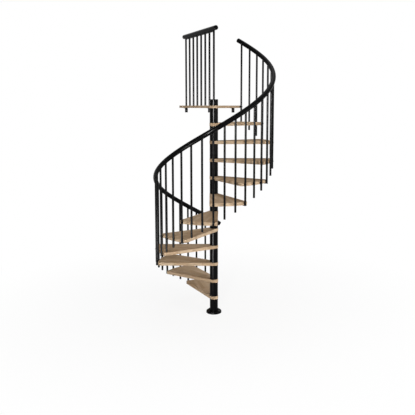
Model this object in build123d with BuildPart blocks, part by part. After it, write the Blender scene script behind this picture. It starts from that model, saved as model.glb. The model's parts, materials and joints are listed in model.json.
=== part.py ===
"""Spiral staircase: wooden treads and a landing threaded on one pole between steel sleeves.

The frame: origin at the centre of the base flange's underside, on the floor. +Z is up the pole.
Azimuths are degrees from +X towards +Y, and the stair climbs that way round. Lengths are millimetres.
"""
from build123d import *
import os
from math import asin, atan2, cos, degrees, radians, sin

os.makedirs("parts", exist_ok=True)

# The climb: equal rises, each turned by one step
rise = 230.0
tread_count = 11
step_turn = 30.0
first_front = 90.0
quarter_turn = 90.0

# Pole and sleeves
pole_radius = 30.0
pole_wall = 4.0
sleeve_radius = 54.0
sleeve_wall = 3.0
sleeve_chamfer = 1.5
pole_clearance = 0.4
top_sleeve_height = 71.0
cap_height = 9.0
cap_round = 5.0

# Base flange
flange_radius = 102.0
flange_height = 26.0
flange_round = 12.0
flange_hole_radius = 6.5
flange_hole_offset = 76.0
flange_hole_count = 4

# Treads
tread_thickness = 40.0
tread_radius = 741.0
tread_hub_overlap = 56.0
tread_nose_overlap = 47.0
hub_radius = 57.0
tread_corner_round = 25.0
tread_edge_round = 3.0
wedge_reach_share = 2.0

# Landing
landing_thickness = 33.0
landing_front_length = 843.0
landing_far_reach = 1096.0
landing_far_azimuth = 118.05
landing_corner_round = 6.0

# Balusters on the stair
baluster_radius = 13.0
baluster_gap = 4.0
balusters_per_step = 3
baluster_end_round = 5.0

# Handrail
rail_radius = 30.0
rail_height = 1090.0
rail_overhang_low = 75.0
rail_overhang_high = 52.0
rail_sections = 4
rail_clearance = 0.3
rail_cap_height = 14.0
cap_round_share = 0.8

# Small ironwork that holds the balusters
foot_thickness = 5.0
foot_width = 30.0
foot_length = 78.0
foot_round = 6.0
standoff_radius = 7.0
standoff_clearance = 0.2
floor_foot_radius = 32.0
floor_foot_thickness = 8.0

# Landing railing
landing_baluster_count = 8
landing_baluster_pitch = 136.0
landing_rail_overhang = 74.0
landing_rail_height = 973.0
landing_strip_width = 16.0
landing_strip_depth = 14.0

# Landing brackets
bracket_count = 3
bracket_start = 134.5
bracket_pitch = 347.4
bracket_width = 41.0
bracket_drop = 66.0
bracket_leg = 70.0
bracket_plate = 6.0
bracket_hole_radius = 5.5

# What follows from the sizes above
landing_bottom = rise * (tread_count + 1) - tread_thickness
landing_top = landing_bottom + landing_thickness
landing_middle = landing_bottom + landing_thickness / 2
pole_top = landing_top + top_sleeve_height + cap_height
baluster_circle = tread_radius + baluster_gap + baluster_radius
helix_pitch = rise * 360 / step_turn
rail_slope = atan2(rise, baluster_circle * radians(step_turn))
rail_low = first_front - degrees(rail_overhang_low / baluster_circle)
rail_high = first_front + step_turn * tread_count + degrees(rail_overhang_high / baluster_circle)
saddle_length = 2 * (rail_radius + baluster_radius)


def direction(azimuth):
    """Unit vector in plan at an azimuth."""
    return Vector(cos(radians(azimuth)), sin(radians(azimuth)), 0)


def front_azimuth(steps):
    """Azimuth of the front line, a number of steps up from the floor."""
    return first_front + step_turn * steps


def plan_plane(azimuth, height, radius=0):
    """Level plane whose local X points outward at an azimuth."""
    centre = direction(azimuth) * radius + Vector(0, 0, height)
    return Plane(origin=centre, x_dir=direction(azimuth), z_dir=(0, 0, 1))


def rail_centre(azimuth):
    """Height of the handrail's centre line at an unwrapped azimuth."""
    return rail_height + rise * (azimuth - first_front) / step_turn


def rail_tangent(azimuth):
    """Direction of climb of the handrail at an azimuth."""
    level = direction(azimuth + quarter_turn) * cos(rail_slope)
    return level + Vector(0, 0, sin(rail_slope))


def write(part, name):
    """Label a finished piece and write it to its file."""
    part.label = name
    export_step(part, f"parts/{name}.step")


def round_outline(part, corners, corner_round):
    """Round the outer upright corners, then the long edges above and below."""
    height = part.part.bounding_box().center().Z
    uprights = part.edges().filter_by(Axis.Z).sort_by_distance((0, 0, height))
    fillet(uprights[-corners:], radius=corner_round)
    rims = [face.outer_wire().edges() for face in part.faces().filter_by(Axis.Z)]
    fillet([edge for rim in rims for edge in rim], radius=tread_edge_round)


def tread_outline():
    """Wedge that laps its front and back lines, widest at the hub, closed by the outer arc and the hub."""
    half = radians(step_turn / 2)
    reach = tread_radius * wedge_reach_share
    lap = tread_hub_overlap + (tread_nose_overlap - tread_hub_overlap) * wedge_reach_share
    near = (-tread_hub_overlap * sin(half), tread_hub_overlap * cos(half))
    far = (reach * cos(half) - lap * sin(half), reach * sin(half) + lap * cos(half))
    Polygon((near[0], -near[1]), (far[0], -far[1]), far, near, align=None)
    Circle(tread_radius, mode=Mode.INTERSECT)
    Circle(hub_radius)
    Circle(pole_radius + pole_clearance, mode=Mode.SUBTRACT)


# Landing corners in plan: the front edge leaves the hub and passes beside the last baluster
landing_front = front_azimuth(tread_count)
front_normal = direction(landing_front - quarter_turn)
front_near = front_normal * hub_radius
newel_place = direction(landing_front) * baluster_circle
front_passing = newel_place - front_normal * (baluster_gap + baluster_radius)
front_along = (front_passing - front_near).normalized()
front_corner = front_near + front_along * landing_front_length
front_outward = direction(degrees(atan2(front_along.Y, front_along.X)) - quarter_turn)
far_corner = direction(landing_far_azimuth) * landing_far_reach
side_azimuth = landing_far_azimuth - degrees(asin(hub_radius / landing_far_reach))
side_normal = direction(side_azimuth + quarter_turn)
side_near = side_normal * hub_radius
back_run = far_corner - front_corner
back_along = back_run.normalized()
back_azimuth = degrees(atan2(back_along.Y, back_along.X))
back_outward = direction(back_azimuth - quarter_turn)


def base_flange():
    """Round flange with a domed shoulder, bolted to the floor."""
    with BuildPart() as flange:
        with BuildSketch(Plane.XY):
            Circle(flange_radius)
        extrude(amount=flange_height)
        fillet(flange.edges().sort_by(Axis.Z)[-1], radius=flange_round)
        with Locations(Plane.XY.offset(flange_height)):
            with PolarLocations(flange_hole_offset, flange_hole_count, start_angle=180 / flange_hole_count):
                Hole(flange_hole_radius)
    write(flange.part, "base_flange")


def centre_pole():
    """Tube that the treads and sleeves are threaded on."""
    with BuildPart() as pole:
        with BuildSketch(Plane.XY.offset(flange_height)):
            Circle(pole_radius)
            Circle(pole_radius - pole_wall, mode=Mode.SUBTRACT)
        extrude(amount=pole_top - cap_height - flange_height)
    write(pole.part, "centre_pole")


def sleeves():
    """Equal steel sleeves under the treads and under the landing, and a short one above it."""
    with BuildPart() as tubes:
        for level in range(1, tread_count + 3):
            low = rise * (level - 1) if level > 1 else flange_height
            high = rise * level - tread_thickness
            if level == tread_count + 2:
                low = landing_top
                high = landing_top + top_sleeve_height
            with BuildSketch(Plane.XY.offset(low)):
                Circle(sleeve_radius)
                Circle(sleeve_radius - sleeve_wall, mode=Mode.SUBTRACT)
            extrude(amount=high - low)
        rims = tubes.edges().filter_by(GeomType.CIRCLE)
        outer_rims = rims.filter_by(lambda edge: edge.radius > sleeve_radius - sleeve_wall / 2)
        chamfer(outer_rims, length=sleeve_chamfer)
    write(tubes.part, "pole_sleeves")


def pole_cap():
    """Rounded lid on the top sleeve."""
    with BuildPart() as cap:
        with BuildSketch(Plane.XY.offset(landing_top + top_sleeve_height)):
            Circle(sleeve_radius)
        extrude(amount=cap_height)
        fillet(cap.edges().sort_by(Axis.Z)[-1], radius=cap_round)
    write(cap.part, "pole_cap")


def treads():
    """Eleven wedge treads, each turned one step past the one below."""
    for level in range(1, tread_count + 1):
        with BuildPart() as tread:
            with BuildSketch(plan_plane(front_azimuth(level - 1 / 2), rise * level - tread_thickness)):
                tread_outline()
            extrude(amount=tread_thickness)
            round_outline(tread, 2, tread_corner_round)
        write(tread.part, f"tread_{level:02d}")


def landing():
    """Four-cornered landing whose long back edge meets the upper floor."""
    with BuildPart() as board:
        with BuildSketch(Plane.XY.offset(landing_bottom)):
            corners = [front_near, front_corner, far_corner, side_near]
            Polygon(*[(corner.X, corner.Y) for corner in corners], align=None)
            Circle(hub_radius)
            Circle(pole_radius + pole_clearance, mode=Mode.SUBTRACT)
        extrude(amount=landing_thickness)
        round_outline(board, 2, landing_corner_round)
    write(board.part, "landing")


def stair_baluster(azimuth, bottom):
    """Upright rod from a foot up to the handrail, its top cut to the rail's round."""
    place = direction(azimuth) * baluster_circle
    top = rail_centre(azimuth)
    with Locations((place.X, place.Y, bottom)):
        Cylinder(baluster_radius, top - bottom, align=(Align.CENTER, Align.CENTER, Align.MIN))
    with Locations(Plane(origin=(place.X, place.Y, top), z_dir=rail_tangent(azimuth)).location):
        Cylinder(rail_radius + rail_clearance, saddle_length, mode=Mode.SUBTRACT)


def stair_balusters():
    """Balusters grouped by the tread whose front line and edge they stand at."""
    for level in range(1, tread_count + 1):
        with BuildPart() as group:
            for place in range(balusters_per_step):
                steps = level - 1 + place / balusters_per_step
                bottom = max(rise * steps - tread_thickness, floor_foot_thickness)
                stair_baluster(front_azimuth(steps), bottom)
            hanging = group.faces().filter_by(Axis.Z).sort_by(Axis.Z)[1:]
            fillet(hanging.edges(), radius=baluster_end_round)
        write(group.part, f"balusters_{level:02d}")
    with BuildPart() as last:
        stair_baluster(front_azimuth(tread_count), rise * tread_count - tread_thickness)
    write(last.part, "landing_newel")


def baluster_feet():
    """Plates under each tread's back corner that carry the baluster shared with the next tread."""
    with BuildPart() as feet:
        for level in range(1, tread_count + 1):
            outer = baluster_circle + baluster_radius
            plane = plan_plane(front_azimuth(level), rise * level - tread_thickness - foot_thickness, outer)
            with BuildSketch(plane):
                with Locations((-foot_length / 2, 0)):
                    RectangleRounded(foot_length, foot_width, foot_round)
            extrude(amount=foot_thickness)
    write(feet.part, "baluster_feet")


def floor_foot():
    """Round foot under the first baluster."""
    place = direction(first_front) * baluster_circle
    with BuildPart() as foot:
        with BuildSketch(Plane(origin=(place.X, place.Y, 0))):
            Circle(floor_foot_radius)
        extrude(amount=floor_foot_thickness)
        fillet(foot.edges().sort_by(Axis.Z)[-1], radius=floor_foot_thickness / 2)
    write(foot.part, "floor_foot")


def standoffs():
    """Short distance rings between each tread's outer edge and the balusters bolted to it."""
    with BuildPart() as rings:
        for level in range(1, tread_count + 1):
            for place in range(balusters_per_step):
                azimuth = front_azimuth(level - 1 + place / balusters_per_step)
                start = direction(azimuth) * tread_radius + Vector(0, 0, rise * level - tread_thickness / 2)
                with BuildSketch(Plane(origin=start, z_dir=direction(azimuth))):
                    Circle(standoff_radius)
                extrude(amount=baluster_gap - standoff_clearance)
        start = newel_place - front_outward * (newel_place - front_near).dot(front_outward)
        with BuildSketch(Plane(origin=start + Vector(0, 0, landing_middle), z_dir=front_outward)):
            Circle(standoff_radius)
        extrude(amount=(newel_place - start).length - baluster_radius - standoff_clearance)
    write(rings.part, "baluster_standoffs")


def handrail():
    """Round rail along the helix over the balusters, in equal sections end to end."""
    turn = (rail_high - rail_low) / rail_sections
    for number in range(rail_sections):
        start = rail_low + turn * number
        with BuildPart() as section:
            with BuildLine() as path:
                coil = Helix(helix_pitch, helix_pitch * turn / 360, baluster_circle, mode=Mode.PRIVATE)
                add(coil.rotate(Axis.Z, start).translate((0, 0, rail_centre(start))))
            with BuildSketch(Plane(origin=path.line @ 0, z_dir=path.line % 0)):
                Circle(rail_radius)
            sweep(is_frenet=True)
        write(section.part, f"handrail_{number + 1}")


def handrail_caps():
    """Domed plugs on the two ends of the handrail."""
    with BuildPart() as caps:
        for azimuth, sense in ((rail_low, -1), (rail_high, 1)):
            place = direction(azimuth) * baluster_circle + Vector(0, 0, rail_centre(azimuth))
            with BuildSketch(Plane(origin=place, z_dir=rail_tangent(azimuth) * sense)):
                Circle(rail_radius)
            extrude(amount=rail_cap_height)
            tip = caps.faces().sort_by_distance(place + rail_tangent(azimuth) * sense * rail_cap_height)[0]
            fillet(tip.edges(), radius=rail_cap_height * cap_round_share)
    write(caps.part, "handrail_caps")


def railing_point(number):
    """Plan point of a rod of the landing railing, counted from the pole along the landing's open side."""
    return direction(side_azimuth) * (landing_baluster_pitch * number)


def landing_railing():
    """Straight rail along the landing's open side, whose first rod stands on the pole."""
    level = Vector(0, 0, landing_top + landing_rail_height)
    with BuildPart() as rods:
        for number in range(landing_baluster_count):
            place = railing_point(number)
            bottom = landing_top if number else pole_top
            with Locations((place.X, place.Y, bottom)):
                Cylinder(baluster_radius, level.Z - bottom, align=(Align.CENTER, Align.CENTER, Align.MIN))
            with Locations(Plane(origin=place + level, z_dir=direction(side_azimuth)).location):
                Cylinder(rail_radius + rail_clearance, saddle_length, mode=Mode.SUBTRACT)
    write(rods.part, "landing_balusters")
    rail_start = level - direction(side_azimuth) * landing_rail_overhang
    rail_length = landing_baluster_pitch * (landing_baluster_count - 1) + 2 * landing_rail_overhang
    with BuildPart() as rail:
        with BuildSketch(Plane(origin=rail_start, z_dir=direction(side_azimuth))):
            Circle(rail_radius)
        extrude(amount=rail_length)
        fillet(rail.edges().filter_by(GeomType.CIRCLE), radius=rail_cap_height * cap_round_share)
    write(rail.part, "landing_handrail")


def landing_rail_strip():
    """Flat strip between the tops of the landing's rods, under the rail that it carries."""
    level = Vector(0, 0, landing_top + landing_rail_height)
    section = Plane(origin=level, x_dir=side_normal, z_dir=direction(side_azimuth))
    span = landing_baluster_pitch * (landing_baluster_count - 1)
    depth = rail_radius + landing_strip_depth
    rod_cut = 2 * (depth + baluster_radius)
    with BuildPart() as strip:
        with BuildSketch(section):
            with Locations((0, -depth / 2)):
                Rectangle(landing_strip_width, depth)
        extrude(amount=span)
        with Locations(section.location):
            Cylinder(rail_radius + rail_clearance, 2 * (span + landing_rail_overhang), mode=Mode.SUBTRACT)
        for number in range(landing_baluster_count):
            place = railing_point(number)
            with Locations((place.X, place.Y, level.Z)):
                Cylinder(baluster_radius + standoff_clearance, rod_cut, mode=Mode.SUBTRACT)
    write(strip.part, "landing_rail_strip")


def landing_brackets():
    """Angle plates under the landing's back edge, each with one hole for a bolt into the upper floor."""
    with BuildPart() as brackets:
        for number in range(bracket_count):
            along = bracket_start + bracket_pitch * number
            corner = front_corner + back_along * along + Vector(0, 0, landing_bottom)
            with BuildSketch(Plane(origin=corner, x_dir=back_outward * -1, z_dir=back_along)) as profile:
                with BuildLine():
                    Polyline(
                        (0, 0),
                        (bracket_leg, 0),
                        (bracket_leg, -bracket_plate),
                        (bracket_plate, -bracket_plate),
                        (bracket_plate, -bracket_drop),
                        (0, -bracket_drop),
                        close=True,
                    )
                make_face()
            extrude(amount=bracket_width / 2, both=True)
            hole = corner - Vector(0, 0, (bracket_drop + bracket_plate) / 2)
            with BuildSketch(Plane(origin=hole, z_dir=back_outward * -1)):
                Circle(bracket_hole_radius)
            extrude(amount=bracket_plate, mode=Mode.SUBTRACT)
    write(brackets.part, "landing_brackets")


base_flange()
centre_pole()
sleeves()
pole_cap()
treads()
landing()
stair_balusters()
baluster_feet()
floor_foot()
standoffs()
handrail()
handrail_caps()
landing_railing()
landing_rail_strip()
landing_brackets()
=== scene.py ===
"""Spiral staircase: finishes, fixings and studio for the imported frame.

Lengths are metres in the frame's own axes: +Z up the pole, -Y towards the camera.
"""
import json
from math import atan2, cos, degrees, pi, radians, sin

import bmesh
import bpy
from bpy.props import FloatProperty, FloatVectorProperty, IntProperty, PointerProperty
from mathutils import Matrix, Vector


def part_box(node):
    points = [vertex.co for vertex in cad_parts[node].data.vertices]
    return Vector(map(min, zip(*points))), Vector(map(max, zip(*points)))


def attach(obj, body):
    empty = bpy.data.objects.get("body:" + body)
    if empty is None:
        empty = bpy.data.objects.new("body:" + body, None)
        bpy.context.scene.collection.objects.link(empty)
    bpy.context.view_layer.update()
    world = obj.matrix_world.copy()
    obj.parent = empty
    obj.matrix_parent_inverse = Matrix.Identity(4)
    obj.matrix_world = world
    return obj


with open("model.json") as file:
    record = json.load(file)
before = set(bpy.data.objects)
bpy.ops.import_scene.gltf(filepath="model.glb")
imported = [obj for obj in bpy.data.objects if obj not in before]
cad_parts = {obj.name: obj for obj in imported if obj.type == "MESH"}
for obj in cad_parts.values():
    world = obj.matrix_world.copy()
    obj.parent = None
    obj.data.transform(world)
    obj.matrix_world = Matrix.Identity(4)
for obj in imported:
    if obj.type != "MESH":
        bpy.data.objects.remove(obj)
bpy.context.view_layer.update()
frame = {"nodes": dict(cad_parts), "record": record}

bl_info = {
    "name": "Spiral Staircase",
    "version": (1, 0, 0),
    "blender": (4, 5, 0),
    "location": "View3D > Sidebar > Staircase",
    "description": "Dresses a spiral staircase in beech, satin black steel and a smooth round handrail",
    "category": "Object",
}

BODY = "root"
MM_PER_M = 1000

# Layout, read from the frame
TREADS = sorted(name for name in frame["nodes"] if name.startswith("tread_"))
RAILS = [name for name in frame["nodes"] if name.startswith(("handrail", "landing_handrail"))]
TREAD_LOW, TREAD_HIGH = (corner.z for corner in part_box(TREADS[0]))
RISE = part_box(TREADS[1])[1].z - TREAD_HIGH
TREAD_THICKNESS = TREAD_HIGH - TREAD_LOW
NEWEL_LOW, NEWEL_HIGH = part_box("landing_newel")
NEWEL = (NEWEL_LOW + NEWEL_HIGH) / 2
BALUSTER_CIRCLE = NEWEL.xy.length
BALUSTER_RADIUS = (NEWEL_HIGH.x - NEWEL_LOW.x) / 2
FLANGE_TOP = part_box("base_flange")[1].z
LANDING_LOW, LANDING_TOP = (corner.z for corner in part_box("landing"))
FOOT_LOW = TREAD_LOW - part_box("baluster_feet")[0].z
MOUNTS = {mount["name"]: mount for mount in frame["record"]["mounts"]}

# Layout that the frame's boxes don't tell
STEP_TURN = radians(30)
FIRST_FRONT = radians(90)
BALUSTERS_PER_STEP = 3
HUB_RADIUS = 0.057
BALUSTER_GAP = 0.004
FOOT_LENGTH = 0.078
FOOT_SCREW_SHARES = (0.55, 0.86)
BRACKET_SCREWS = (0.026, 0.050)

# Beech: waves or cells to the metre along and across a stave, thresholds, and how strongly each mark shows
SLIP_STAVES = 5.0
TONE_SHIFT = 37.0
FIGURE_ALONG, FIGURE_ACROSS = 2.2, 26.0
FIGURE_ROUGHNESS = 0.55
GRAIN_ALONG, GRAIN_ACROSS = 9.0, 420.0
GRAIN_ROUGHNESS = 0.6
BEECH_DETAIL = 3.0
FLECK_ALONG, FLECK_ACROSS = 170.0, 950.0
FLECK_CHOSEN = (0.42, 0.62)
FLECK_EDGE = (0.16, 0.42)
GLUE_CORE_SHARE = 0.25
END_FACE = (0.70, 0.90)
RUDDY_RANGE = (0.20, 0.95)
RUDDY_BY_TONE, RUDDY_BY_FIGURE = 0.62, 0.55
GRAIN_START, GRAIN_SHOWN = 0.35, 0.32
FLECK_SHOWN = 0.55
END_SHOWN, END_GRAIN_SHOWN = 0.16, 0.22
GLUE_SHOWN = 0.50
BEECH_ROUGH_GRAIN, BEECH_ROUGH_END = 0.10, 0.12
BEECH_HIGH_GRAIN, BEECH_LOW_FLECK = 0.35, 0.5
BEECH_RELIEF, BEECH_RELIEF_SHOWN = 0.0004, 0.35
BEECH_SPECULAR = 0.0

# Roughness of a noise that has none of its own
EVEN_ROUGHNESS = 0.5

# Powder coat: uneven patches, fine specks and orange peel
PEEL_DETAIL = 2.0
PATCH_SCALE, PATCH_DETAIL = 7.0, 5.0
SPECK_SCALE, SPECK_DETAIL = 420.0, 2.0
SPECK_EDGE = (0.66, 0.80)
WORN_LIFT = 2.2
PATCH_SHOWN, SPECK_SHOWN = 0.35, 0.30
STEEL_ROUGH_PATCH, STEEL_ROUGH_PEEL = 0.10, 0.05
PEEL_RELIEF, PEEL_RELIEF_SHOWN = 0.0002, 0.12
STEEL_SPECULAR = 0.035

# Handrail: broad smears and fine pores
SMEAR_SCALE, SMEAR_DETAIL = 11.0, 6.0
PORE_SCALE, PORE_DETAIL = 900.0, 2.0
DUSTY_LIFT = 2.0
RAIL_ROUGH_SMEAR, RAIL_ROUGH_PORE = 0.05, 0.03
PORE_RELIEF, PORE_RELIEF_SHOWN = 0.0001, 0.06
RAIL_SPECULAR = 0.02

# Black zinc: a cloudy film
CLOUD_SCALE, CLOUD_DETAIL = 160.0, 5.0
DULL_SHARE = 0.62
ZINC_ROUGHNESS, ZINC_ROUGH_CLOUD = 0.30, 0.22
ZINC_SPECULAR = 0.035

# Sockets that are told apart by their position
OBJECT_PLACE = 3
SURFACE_NORMAL = 1
CELL_DISTANCE, CELL_COLOUR = 0, 1
MIX_SHARE, MIX_FIRST, MIX_SECOND = 0, 6, 7
MIXED_COLOUR = 2
VECTOR_LENGTH = 1
CAMERA_RAY, GLOSSY_RAY, TRANSMISSION_RAY = 0, 3, 6

# Heads of fixings: radius and height of each corner of the profile, as shares of the head's radius
BUTTON_SHARES = (
    (0.0, 0.30), (0.42, 0.30), (0.42, 0.62), (0.66, 0.60),
    (0.90, 0.40), (1.0, 0.10), (1.0, -0.16), (0.0, -0.16))
WASHER_SHARES = ((0.0, 0.20), (1.22, 0.20), (1.28, 0.14), (1.28, 0.0), (0.0, 0.0))
HEXAGON_SHARES = ((0.0, 0.86), (0.80, 0.86), (1.0, 0.76), (1.0, 0.20), (0.0, 0.20))
FLAT_SHARES = (
    (0.0, -0.25), (0.34, -0.25), (0.34, 0.10), (0.88, 0.10), (1.0, 0.0), (1.0, -0.10), (0.0, -0.10))
HEXAGON_SIDES = 6
SHARP_EDGE = radians(35)

# Stage: places, aims and sizes of the lights, floor and camera
AIM_SHARE = 0.6
KEY_PLACE, KEY_SIZE = (-1.17, -6.9, 2.75), (0.5, 0.8)
FILL_PLACE, FILL_SIZE = (5.5, -3.0, 2.6), (3.0, 3.0)
TOP_PLACE, TOP_AIM, TOP_SIZE = (0.5, 0.5, 6.5), (0, 0, 0), (4.0, 4.0)
LOW_PLACE, LOW_AIM, LOW_SIZE = (-1.0, -2.18, 0.5), (0, 0, 1.1), (0.9, 0.96)
FLOOR_HALF = 40.0
FLOOR_COLOUR = (0.86, 0.86, 0.86, 1)
WHITE = (1, 1, 1, 1)
SHADOW_SHARE = 0.12
SHADOW_FADE = (0.6, 4.0)
SENSOR_WIDTH = 36.0
CLIP_END = 200.0


def plan(azimuth, radius, height):
    """Point at an azimuth and radius round the pole."""
    return Vector((radius * cos(azimuth), radius * sin(azimuth), height))


def facing(place, axis):
    """Matrix that stands a turned piece at a place, its own Z along an axis."""
    turn = Vector(axis).to_track_quat("Z", "Y").to_matrix().to_4x4()
    return Matrix.Translation(place) @ turn


class BeechFinish(bpy.types.PropertyGroup):
    """Edge-glued beech staves with a matt finish"""
    pale: FloatVectorProperty(
        name="Pale stave", description="Colour of the lightest staves",
        subtype="COLOR", size=3, min=0, max=1, default=(0.565, 0.43, 0.295))
    ruddy: FloatVectorProperty(
        name="Ruddy stave", description="Colour of the darkest staves",
        subtype="COLOR", size=3, min=0, max=1, default=(0.45, 0.32, 0.205))
    fleck: FloatVectorProperty(
        name="Fleck", description="Colour of the short ray flecks",
        subtype="COLOR", size=3, min=0, max=1, default=(0.27, 0.165, 0.09))
    stave_width: FloatProperty(
        name="Stave width", description="Width of one stave",
        unit="LENGTH", default=0.046)
    stave_length: FloatProperty(
        name="Stave length", description="Length of one stave between butt joints",
        unit="LENGTH", default=0.34)
    glue_line: FloatProperty(
        name="Glue line", description="Width of the dark line between staves",
        unit="LENGTH", default=0.0009)
    roughness: FloatProperty(
        name="Roughness", description="Roughness of the finish",
        subtype="FACTOR", min=0, max=1, default=0.50)


class SteelFinish(bpy.types.PropertyGroup):
    """Satin black powder coat"""
    colour: FloatVectorProperty(
        name="Coat", description="Colour of the powder coat",
        subtype="COLOR", size=3, min=0, max=1, default=(0.0022, 0.0022, 0.0024))
    roughness: FloatProperty(
        name="Roughness", description="Roughness of the coat",
        subtype="FACTOR", min=0, max=1, default=0.24)
    peel: FloatProperty(
        name="Orange peel", description="Size of the coat's fine texture",
        unit="LENGTH", default=0.0016)
    zinc: FloatVectorProperty(
        name="Zinc", description="Colour of the black zinc on bolts and screws",
        subtype="COLOR", size=3, min=0, max=1, default=(0.075, 0.075, 0.078))


class RailFinish(bpy.types.PropertyGroup):
    """Smooth black handrail"""
    colour: FloatVectorProperty(
        name="Rail", description="Colour of the handrail",
        subtype="COLOR", size=3, min=0, max=1, default=(0.0022, 0.0022, 0.0024))
    roughness: FloatProperty(
        name="Roughness", description="Roughness of the rail",
        subtype="FACTOR", min=0, max=1, default=0.18)


class FixingSizes(bpy.types.PropertyGroup):
    """Bolts and screws"""
    head_radius: FloatProperty(
        name="Button head", description="Radius of a baluster bolt's head",
        unit="LENGTH", default=0.0070)
    screw_radius: FloatProperty(
        name="Screw head", description="Radius of a wood screw's head",
        unit="LENGTH", default=0.0052)
    anchor_radius: FloatProperty(
        name="Anchor head", description="Corner radius of a floor bolt's hexagon",
        unit="LENGTH", default=0.0107)
    bracket_radius: FloatProperty(
        name="Bracket head", description="Corner radius of a bracket bolt's hexagon",
        unit="LENGTH", default=0.0095)
    sides: IntProperty(name="Sides", description="Sides of a turned piece", min=8, default=28)


class StudioSettings(bpy.types.PropertyGroup):
    """Camera and lights"""
    distance: FloatProperty(
        name="Distance", description="Camera's distance in front of the pole",
        unit="LENGTH", default=7.163)
    turn: FloatProperty(
        name="Turn", description="Camera's turn round the pole from straight ahead",
        subtype="ANGLE", default=radians(0.46))
    eye: FloatProperty(
        name="Eye height", description="Camera's height over the floor",
        unit="LENGTH", default=2.754)
    tilt: FloatProperty(
        name="Tilt", description="Downward tilt of the camera",
        subtype="ANGLE", default=radians(6.70))
    focal: FloatProperty(name="Focal length", description="In pixels of the frame", default=553.3)
    centre_x: FloatProperty(
        name="Centre X", description="Optical centre in pixels from the left", default=213.87)
    centre_y: FloatProperty(
        name="Centre Y", description="Optical centre in pixels from the top", default=170.47)
    image: FloatProperty(name="Image", description="Width and height of the frame in pixels", default=415)
    key: FloatProperty(name="Key", description="Power of the front light in watts", default=246)
    fill: FloatProperty(name="Fill", description="Power of the right light in watts", default=190)
    top: FloatProperty(name="Top", description="Power of the overhead light in watts", default=85)
    ambient: FloatProperty(name="Ambient", description="Strength of the surrounding light", default=0.32)
    front: FloatProperty(
        name="Front strip", description="Power in watts of the strip in the pole's sheen", default=1500)
    low: FloatProperty(
        name="Low strip", description="Power in watts of the strip in the pole's lower sheen", default=200)


class Wire:
    """A shader value that arithmetic joins with Math nodes."""

    def __init__(self, tree, socket=None):
        self.tree = tree
        self.socket = socket

    def node(self, kind, settings=None, sockets=None):
        """Add a node: its settings first, then values or links; returns its outputs as wires."""
        made = self.tree.nodes.new(kind)
        for name, value in (settings or {}).items():
            setattr(made, name, value)
        for name, value in (sockets or {}).items():
            if isinstance(value, Wire):
                self.tree.links.new(value.socket, made.inputs[name])
            else:
                made.inputs[name].default_value = value
        return [Wire(self.tree, socket) for socket in made.outputs]

    def math(self, operation, first, second=0.0):
        return self.node("ShaderNodeMath", {"operation": operation}, {0: first, 1: second})[0]

    def __add__(self, other):
        return self.math("ADD", self, other)

    def __radd__(self, other):
        return self.math("ADD", other, self)

    def __sub__(self, other):
        return self.math("SUBTRACT", self, other)

    def __rsub__(self, other):
        return self.math("SUBTRACT", other, self)

    def __mul__(self, other):
        return self.math("MULTIPLY", self, other)

    def __rmul__(self, other):
        return self.math("MULTIPLY", other, self)

    def __truediv__(self, other):
        return self.math("DIVIDE", self, other)

    def __abs__(self):
        return self.math("ABSOLUTE", self)

    def __floordiv__(self, other):
        return self.math("FLOOR", self / other)

    def __mod__(self, other):
        return self.math("FLOORED_MODULO", self, other)


def new_material(name):
    """New node material, its shader and a wire to start from."""
    material = bpy.data.materials.new(name)
    material.use_nodes = True
    tree = material.node_tree
    shader = tree.nodes["Principled BSDF"]
    return material, shader, Wire(tree)


def feed(shader, name, wire):
    """Join a wire to one socket of a shader."""
    wire.tree.links.new(wire.socket, shader.inputs[name])


def between(wire, low, high):
    """0 below low, 1 above high, smooth between."""
    settings = {"interpolation_type": "SMOOTHSTEP"}
    return wire.node("ShaderNodeMapRange", settings, {"Value": wire, "From Min": low, "From Max": high})[0]


def about_zero(wire):
    """A value from 0 to 1, moved to lie evenly about 0."""
    return wire - 0.5


def from_joint(run):
    """Distance of a run of staves to its nearest joint, in staves."""
    return 0.5 - abs(about_zero(run % 1.0))


def mix(share, first, second):
    """Mix two colours by a share."""
    first, second = (c if isinstance(c, Wire) else (*c, 1) for c in (first, second))
    sockets = {MIX_SHARE: share, MIX_FIRST: first, MIX_SECOND: second}
    return share.node("ShaderNodeMix", {"data_type": "RGBA"}, sockets)[MIXED_COLOUR]


def join(x, y, z):
    """Vector from three wires or numbers."""
    wire = next(value for value in (x, y, z) if isinstance(value, Wire))
    return wire.node("ShaderNodeCombineXYZ", {}, {0: x, 1: y, 2: z})[0]


def split(vector):
    """The three parts of a vector."""
    return vector.node("ShaderNodeSeparateXYZ", {}, {0: vector})


def turned_back(vector, azimuth):
    """A vector as seen from axes that are turned by an azimuth."""
    sockets = {"Vector": vector, "Angle": -azimuth}
    return vector.node("ShaderNodeVectorRotate", {"rotation_type": "Z_AXIS"}, sockets)[0]


def noise(vector, scale, detail, roughness=EVEN_ROUGHNESS):
    """Noise with so many waves to the metre."""
    sockets = {"Vector": vector, "Scale": scale, "Detail": detail, "Roughness": roughness}
    return vector.node("ShaderNodeTexNoise", {}, sockets)[0]


def bump(shader, height, distance, strength):
    """Raise a surface by a wire of heights."""
    sockets = {"Height": height, "Distance": distance, "Strength": strength}
    feed(shader, "Normal", height.node("ShaderNodeBump", {}, sockets)[0])


def tinted(colour, factor):
    """A colour made lighter or darker by a factor."""
    return tuple(factor * part for part in colour)


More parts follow.
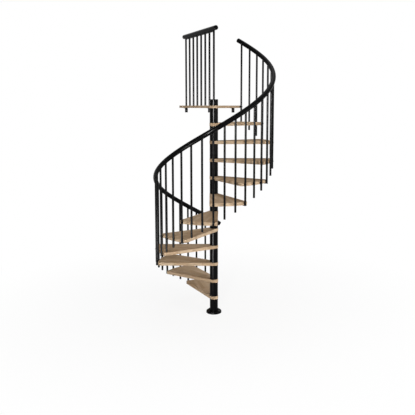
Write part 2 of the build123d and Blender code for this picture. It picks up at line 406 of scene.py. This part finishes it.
def beech_material(name, azimuth, finish):
    """Staves along an azimuth, each with its own tone, grain and flecks."""
    material, shader, start = new_material(name)
    place = start.node("ShaderNodeTexCoord")[OBJECT_PLACE]
    along, across, up = split(turned_back(place, azimuth))
    row = across // finish.stave_width
    slip = start.node("ShaderNodeTexWhiteNoise", {"noise_dimensions": "1D"}, {"W": row + degrees(azimuth)})[0]
    run = along / finish.stave_length + slip * SLIP_STAVES
    stave = join(row, run // 1.0 + degrees(azimuth), 0.0)
    tone = start.node("ShaderNodeTexWhiteNoise", {"noise_dimensions": "2D"}, {"Vector": stave})[0]
    shift = tone * TONE_SHIFT

    wave = join(along * FIGURE_ALONG + shift, across * FIGURE_ACROSS, up * FIGURE_ACROSS + shift)
    figure = noise(wave, 1.0, BEECH_DETAIL, FIGURE_ROUGHNESS)
    fibre = join(along * GRAIN_ALONG + shift, across * GRAIN_ACROSS, up * GRAIN_ACROSS)
    grain = noise(fibre, 1.0, BEECH_DETAIL, GRAIN_ROUGHNESS)
    cell = join(along * FLECK_ALONG + shift, across * FLECK_ACROSS, up * FLECK_ACROSS)
    cells = start.node("ShaderNodeTexVoronoi", {}, {"Vector": cell, "Scale": 1.0})
    draw = start.node("ShaderNodeSeparateColor", {}, {0: cells[CELL_COLOUR]})[0]
    flecks = (1.0 - between(cells[CELL_DISTANCE], *FLECK_EDGE)) * between(draw, *FLECK_CHOSEN)

    edge_across = finish.stave_width * from_joint(across / finish.stave_width)
    edge_along = finish.stave_length * from_joint(run)
    nearest = start.math("MINIMUM", edge_across, edge_along)
    glue = 1.0 - between(nearest, finish.glue_line * GLUE_CORE_SHARE, finish.glue_line)

    normal = start.node("ShaderNodeNewGeometry")[SURFACE_NORMAL]
    end = between(abs(split(turned_back(normal, azimuth))[0]), *END_FACE)

    ruddiness = between(tone * RUDDY_BY_TONE + figure * RUDDY_BY_FIGURE, *RUDDY_RANGE)
    colour = mix(ruddiness, finish.pale, finish.ruddy)
    colour = mix((grain - GRAIN_START) * GRAIN_SHOWN, colour, finish.fleck)
    colour = mix(flecks * FLECK_SHOWN * (1.0 - end), colour, finish.fleck)
    colour = mix(end * (END_SHOWN + END_GRAIN_SHOWN * grain), colour, finish.ruddy)
    colour = mix(glue * GLUE_SHOWN, colour, finish.fleck)
    feed(shader, "Base Color", colour)
    rough = finish.roughness + BEECH_ROUGH_GRAIN * about_zero(grain) + BEECH_ROUGH_END * end
    feed(shader, "Roughness", rough)
    height = BEECH_HIGH_GRAIN * grain - BEECH_LOW_FLECK * flecks - glue
    bump(shader, height, BEECH_RELIEF, BEECH_RELIEF_SHOWN)
    shader.inputs["Specular IOR Level"].default_value = BEECH_SPECULAR
    return material


def steel_material(finish):
    """Powder coat with a faint orange peel and uneven sheen."""
    material, shader, start = new_material("satin_black_steel")
    place = start.node("ShaderNodeTexCoord")[OBJECT_PLACE]
    peel = noise(place, 1 / finish.peel, PEEL_DETAIL)
    patch = noise(place, PATCH_SCALE, PATCH_DETAIL)
    speck = between(noise(place, SPECK_SCALE, SPECK_DETAIL), *SPECK_EDGE)
    worn = PATCH_SHOWN * patch + SPECK_SHOWN * speck
    feed(shader, "Base Color", mix(worn, finish.colour, tinted(finish.colour, WORN_LIFT)))
    rough = finish.roughness + STEEL_ROUGH_PATCH * about_zero(patch) + STEEL_ROUGH_PEEL * about_zero(peel)
    feed(shader, "Roughness", rough)
    bump(shader, peel, PEEL_RELIEF, PEEL_RELIEF_SHOWN)
    shader.inputs["Specular IOR Level"].default_value = STEEL_SPECULAR
    return material


def rail_material(finish):
    """Smooth rail, a little uneven from handling."""
    material, shader, start = new_material("smooth_black_rail")
    place = start.node("ShaderNodeTexCoord")[OBJECT_PLACE]
    smear = noise(place, SMEAR_SCALE, SMEAR_DETAIL)
    pore = noise(place, PORE_SCALE, PORE_DETAIL)
    feed(shader, "Base Color", mix(smear, finish.colour, tinted(finish.colour, DUSTY_LIFT)))
    rough = finish.roughness + RAIL_ROUGH_SMEAR * about_zero(smear) + RAIL_ROUGH_PORE * about_zero(pore)
    feed(shader, "Roughness", rough)
    bump(shader, pore, PORE_RELIEF, PORE_RELIEF_SHOWN)
    shader.inputs["Specular IOR Level"].default_value = RAIL_SPECULAR
    return material


def zinc_material(finish):
    """Dull black zinc with a cloudy sheen."""
    material, shader, start = new_material("black_zinc")
    place = start.node("ShaderNodeTexCoord")[OBJECT_PLACE]
    cloud = noise(place, CLOUD_SCALE, CLOUD_DETAIL)
    feed(shader, "Base Color", mix(cloud, finish.zinc, tinted(finish.zinc, DULL_SHARE)))
    feed(shader, "Roughness", ZINC_ROUGHNESS + ZINC_ROUGH_CLOUD * cloud)
    shader.inputs["Specular IOR Level"].default_value = ZINC_SPECULAR
    return material


def finish_node(name, material):
    """Give a frame node its finish."""
    for slot in frame["nodes"][name].material_slots:
        slot.material = material


def turned(mesh, shares, size, matrix, sides):
    """Turn a profile, scaled by a size, about the matrix's own Z, closed where it meets the axis."""
    rings = []
    for radius, height in ((r * size, h * size) for r, h in shares):
        if radius == 0:
            rings.append([mesh.verts.new(matrix @ Vector((0, 0, height)))])
            continue
        points = [plan(2 * pi * k / sides, radius, height) for k in range(sides)]
        rings.append([mesh.verts.new(matrix @ point) for point in points])
    for low, high in zip(rings, rings[1:]):
        for k in range(sides):
            corners = [low[k % len(low)], low[(k + 1) % len(low)]]
            corners += [high[(k + 1) % len(high)], high[k % len(high)]]
            mesh.faces.new(list(dict.fromkeys(corners)))


def button_head(mesh, matrix, radius, sides):
    """Domed head with a socket for a key."""
    turned(mesh, BUTTON_SHARES, radius, matrix, sides)


def hex_head(mesh, matrix, radius, sides):
    """Washer and hexagon head."""
    turned(mesh, WASHER_SHARES, radius, matrix, sides)
    turned(mesh, HEXAGON_SHARES, radius, matrix, HEXAGON_SIDES)


def flat_head(mesh, matrix, radius, sides):
    """Countersunk head, nearly flush, with a socket."""
    turned(mesh, FLAT_SHARES, radius, matrix, sides)


def place_fixings(name, draw, matrices, radius, material):
    """One joined mesh of like fixings that rides with the stair."""
    sides = bpy.context.scene.stair_fixings.sides
    mesh = bmesh.new()
    for matrix in matrices:
        draw(mesh, matrix, radius, sides)
    bmesh.ops.recalc_face_normals(mesh, faces=mesh.faces)
    data = bpy.data.meshes.new(name)
    mesh.to_mesh(data)
    mesh.free()
    data.shade_smooth()
    data.set_sharp_from_angle(angle=SHARP_EDGE)
    data.materials.append(bpy.data.materials[material])
    piece = bpy.data.objects.new(name, data)
    bpy.context.scene.collection.objects.link(piece)
    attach(piece, BODY)


class STAIR_OT_beech(bpy.types.Operator):
    """Finish the treads and the landing in beech staves"""
    bl_idname = "stair.beech"
    bl_label = "Beech treads"

    def execute(self, context):
        finish = context.scene.stair_beech
        for number, name in enumerate(TREADS):
            azimuth = FIRST_FRONT + STEP_TURN * (number + 0.5)
            finish_node(name, beech_material(f"beech_{name}", azimuth, finish))
        outward = MOUNTS["landing_bolt_1"]["axis"]
        back_edge = atan2(outward[1], outward[0]) + pi / 2
        finish_node("landing", beech_material("beech_landing", back_edge, finish))
        return {"FINISHED"}


class STAIR_OT_steel(bpy.types.Operator):
    """Finish the pole, flange, balusters and brackets in satin black, and make the zinc for fixings"""
    bl_idname = "stair.steel"
    bl_label = "Black steel"

    def execute(self, context):
        material = steel_material(context.scene.stair_steel)
        zinc_material(context.scene.stair_steel)
        others = (*TREADS, "landing", *RAILS)
        for name in frame["nodes"]:
            if name not in others:
                finish_node(name, material)
        return {"FINISHED"}


class STAIR_OT_handrail(bpy.types.Operator):
    """Finish the helical rail, its end plugs and the landing rail"""
    bl_idname = "stair.handrail"
    bl_label = "Handrail"

    def execute(self, context):
        material = rail_material(context.scene.stair_rail)
        for name in RAILS:
            finish_node(name, material)
        return {"FINISHED"}


class STAIR_OT_baluster_bolts(bpy.types.Operator):
    """Button heads on the outside of each baluster, level with the tread it is bolted to"""
    bl_idname = "stair.baluster_bolts"
    bl_label = "Baluster bolts"

    def execute(self, context):
        places = []
        for number in range(len(TREADS)):
            for third in range(BALUSTERS_PER_STEP):
                azimuth = FIRST_FRONT + STEP_TURN * (number + third / BALUSTERS_PER_STEP)
                height = RISE * (number + 1) - TREAD_THICKNESS / 2
                place = plan(azimuth, BALUSTER_CIRCLE + BALUSTER_RADIUS, height)
                places.append(facing(place, plan(azimuth, 1, 0)))
        places.append(self.newel_bolt())
        radius = context.scene.stair_fixings.head_radius
        place_fixings("baluster_bolts", button_head, places, radius, "satin_black_steel")
        return {"FINISHED"}

    def newel_bolt(self):
        """Where the last baluster is bolted to the landing's front edge."""
        front = FIRST_FRONT + STEP_TURN * len(TREADS)
        side = plan(front - pi / 2, 1, 0)
        centre = plan(front, BALUSTER_CIRCLE, (LANDING_LOW + LANDING_TOP) / 2)
        passing = centre - side * (BALUSTER_GAP + BALUSTER_RADIUS)
        along = passing - side * HUB_RADIUS
        outward = plan(atan2(along.y, along.x) - pi / 2, 1, 0)
        return facing(centre + outward * BALUSTER_RADIUS, outward)


class STAIR_OT_foot_screws(bpy.types.Operator):
    """Two screws up through each foot plate into the tread above it"""
    bl_idname = "stair.foot_screws"
    bl_label = "Foot screws"

    def execute(self, context):
        outer = BALUSTER_CIRCLE + BALUSTER_RADIUS
        places = []
        for number in range(1, len(TREADS) + 1):
            azimuth = FIRST_FRONT + STEP_TURN * number
            underside = RISE * number - TREAD_THICKNESS - FOOT_LOW
            for share in FOOT_SCREW_SHARES:
                place = plan(azimuth, outer - FOOT_LENGTH * share, underside)
                places.append(facing(place, (0, 0, -1)))
        radius = context.scene.stair_fixings.screw_radius
        place_fixings("foot_screws", flat_head, places, radius, "black_zinc")
        return {"FINISHED"}


class STAIR_OT_floor_anchors(bpy.types.Operator):
    """Hexagon bolts that hold the base flange to the floor"""
    bl_idname = "stair.floor_anchors"
    bl_label = "Floor anchors"

    def execute(self, context):
        pattern = MOUNTS["floor_bolts"]["dims"]
        count = int(pattern["count"])
        circle = pattern["pcd_mm"] / MM_PER_M / 2
        places = []
        for number in range(count):
            azimuth = 2 * pi * (number + 0.5) / count
            places.append(facing(plan(azimuth, circle, FLANGE_TOP), (0, 0, 1)))
        radius = context.scene.stair_fixings.anchor_radius
        place_fixings("floor_anchors", hex_head, places, radius, "satin_black_steel")
        return {"FINISHED"}


class STAIR_OT_bracket_bolts(bpy.types.Operator):
    """Bolts in the brackets under the landing, and the screws that hold the brackets up"""
    bl_idname = "stair.bracket_bolts"
    bl_label = "Bracket bolts"

    def execute(self, context):
        bolts, screws = [], []
        for name, mount in MOUNTS.items():
            if name.startswith("landing_bolt"):
                axis = Vector(mount["axis"])
                plate = mount["dims"]["length_mm"] / MM_PER_M
                inner = Vector(mount["pos_m"]) - axis * (plate / 2)
                bolts.append(facing(inner, -axis))
                for reach in BRACKET_SCREWS:
                    place = inner - axis * reach
                    place.z = LANDING_LOW - plate
                    screws.append(facing(place, (0, 0, -1)))
        sizes = context.scene.stair_fixings
        place_fixings("bracket_bolts", hex_head, bolts, sizes.bracket_radius, "black_zinc")
        place_fixings("bracket_screws", flat_head, screws, sizes.screw_radius, "black_zinc")
        return {"FINISHED"}


def studio_light(name, place, aim, size, power, sheen_only=False):
    """Soft box aimed at a point, or a strip that shows only as sheen."""
    lamp = bpy.data.lights.new(name, "AREA")
    lamp.shape = "RECTANGLE"
    lamp.size, lamp.size_y = size
    lamp.energy = power
    light = bpy.data.objects.new(name, lamp)
    light.visible_diffuse = not sheen_only
    light.location = place
    light.rotation_euler = (Vector(aim) - Vector(place)).to_track_quat("-Z", "Y").to_euler()
    bpy.context.scene.collection.objects.link(light)


def seen_directly(start):
    """1 for rays from the camera, mirrors and glass, else 0."""
    rays = start.node("ShaderNodeLightPath")
    return start.math("MINIMUM", rays[CAMERA_RAY] + rays[GLOSSY_RAY] + rays[TRANSMISSION_RAY], 1.0)


class STAIR_OT_stage(bpy.types.Operator):
    """Pale floor, white surround, soft lights and the camera"""
    bl_idname = "stair.stage"
    bl_label = "Stage"

    def execute(self, context):
        scene = context.scene
        studio = scene.stair_studio
        scene.view_settings.view_transform = "Standard"
        self.floor()
        self.world(scene, studio.ambient)
        middle = (0, 0, LANDING_TOP * AIM_SHARE)
        studio_light("key_light", KEY_PLACE, middle, KEY_SIZE, studio.key)
        studio_light("fill_light", FILL_PLACE, middle, FILL_SIZE, studio.fill)
        studio_light("top_light", TOP_PLACE, TOP_AIM, TOP_SIZE, studio.top)
        studio_light("front_strip", KEY_PLACE, middle, KEY_SIZE, studio.front, sheen_only=True)
        studio_light("low_strip", LOW_PLACE, LOW_AIM, LOW_SIZE, studio.low, sheen_only=True)
        self.camera(scene, studio)
        return {"FINISHED"}

    def floor(self):
        """Level floor that shows white and keeps a faint shadow."""
        corners = [(x * FLOOR_HALF, y * FLOOR_HALF, 0) for x, y in ((-1, -1), (1, -1), (1, 1), (-1, 1))]
        data = bpy.data.meshes.new("floor")
        data.from_pydata(corners, [], [(0, 1, 2, 3)])
        floor = bpy.data.objects.new("floor", data)
        bpy.context.scene.collection.objects.link(floor)
        material = bpy.data.materials.new("pale_floor")
        material.use_nodes = True
        tree = material.node_tree
        tree.nodes.clear()
        start = Wire(tree)
        matt = start.node("ShaderNodeBsdfDiffuse", {}, {"Color": FLOOR_COLOUR})[0]
        glow = start.node("ShaderNodeEmission", {}, {"Color": WHITE, "Strength": 1.0})[0]
        place = start.node("ShaderNodeTexCoord")[OBJECT_PLACE]
        away = start.node("ShaderNodeVectorMath", {"operation": "LENGTH"}, {0: place})[VECTOR_LENGTH]
        share = 1.0 - SHADOW_SHARE + SHADOW_SHARE * between(away, *SHADOW_FADE)
        shown = start.node("ShaderNodeMixShader", {}, {0: seen_directly(start) * share, 1: matt, 2: glow})[0]
        start.node("ShaderNodeOutputMaterial", {}, {0: shown})
        data.materials.append(material)

    def world(self, scene, ambient):
        """White surround for the camera, dimmer as light."""
        world = bpy.data.worlds.new("white_surround")
        world.use_nodes = True
        tree = world.node_tree
        tree.nodes.clear()
        start = Wire(tree)
        strength = ambient + seen_directly(start) * (1.0 - ambient)
        glow = start.node("ShaderNodeBackground", {}, {"Color": WHITE, "Strength": strength})[0]
        start.node("ShaderNodeOutputWorld", {}, {0: glow})
        scene.world = world

    def camera(self, scene, studio):
        """Camera at the photograph's height, distance and framing."""
        data = bpy.data.cameras.new("camera")
        data.sensor_width = SENSOR_WIDTH
        data.lens = studio.focal * data.sensor_width / studio.image
        data.shift_x = 0.5 - studio.centre_x / studio.image
        data.shift_y = studio.centre_y / studio.image - 0.5
        data.clip_end = CLIP_END
        camera = bpy.data.objects.new("camera", data)
        camera.location = plan(studio.turn - pi / 2, studio.distance, studio.eye)
        camera.rotation_euler = (pi / 2 - studio.tilt, 0, studio.turn)
        scene.collection.objects.link(camera)
        scene.camera = camera


class STAIR_PT_panel(bpy.types.Panel):
    """Buttons for each group of pieces"""
    bl_idname = "STAIR_PT_panel"
    bl_label = "Spiral Staircase"
    bl_space_type = "VIEW_3D"
    bl_region_type = "UI"
    bl_category = "Staircase"

    def draw(self, context):
        for operator in OPERATORS:
            self.layout.operator(operator.bl_idname)


SETTINGS = {
    "stair_beech": BeechFinish,
    "stair_steel": SteelFinish,
    "stair_rail": RailFinish,
    "stair_fixings": FixingSizes,
    "stair_studio": StudioSettings,
}
OPERATORS = (
    STAIR_OT_beech,
    STAIR_OT_steel,
    STAIR_OT_handrail,
    STAIR_OT_baluster_bolts,
    STAIR_OT_foot_screws,
    STAIR_OT_floor_anchors,
    STAIR_OT_bracket_bolts,
    STAIR_OT_stage,
)


def register():
    for name, group in SETTINGS.items():
        bpy.utils.register_class(group)
        setattr(bpy.types.Scene, name, PointerProperty(type=group))
    for entry in (*OPERATORS, STAIR_PT_panel):
        bpy.utils.register_class(entry)


def unregister():
    for entry in reversed((*OPERATORS, STAIR_PT_panel)):
        bpy.utils.unregister_class(entry)
    for name, group in reversed(SETTINGS.items()):
        delattr(bpy.types.Scene, name)
        bpy.utils.unregister_class(group)


def main():
    register()
    bpy.ops.stair.beech()
    bpy.ops.stair.steel()
    bpy.ops.stair.handrail()
    bpy.ops.stair.baluster_bolts()
    bpy.ops.stair.foot_screws()
    bpy.ops.stair.floor_anchors()
    bpy.ops.stair.bracket_bolts()
    bpy.ops.stair.stage()


if __name__ == "__main__":
    main()
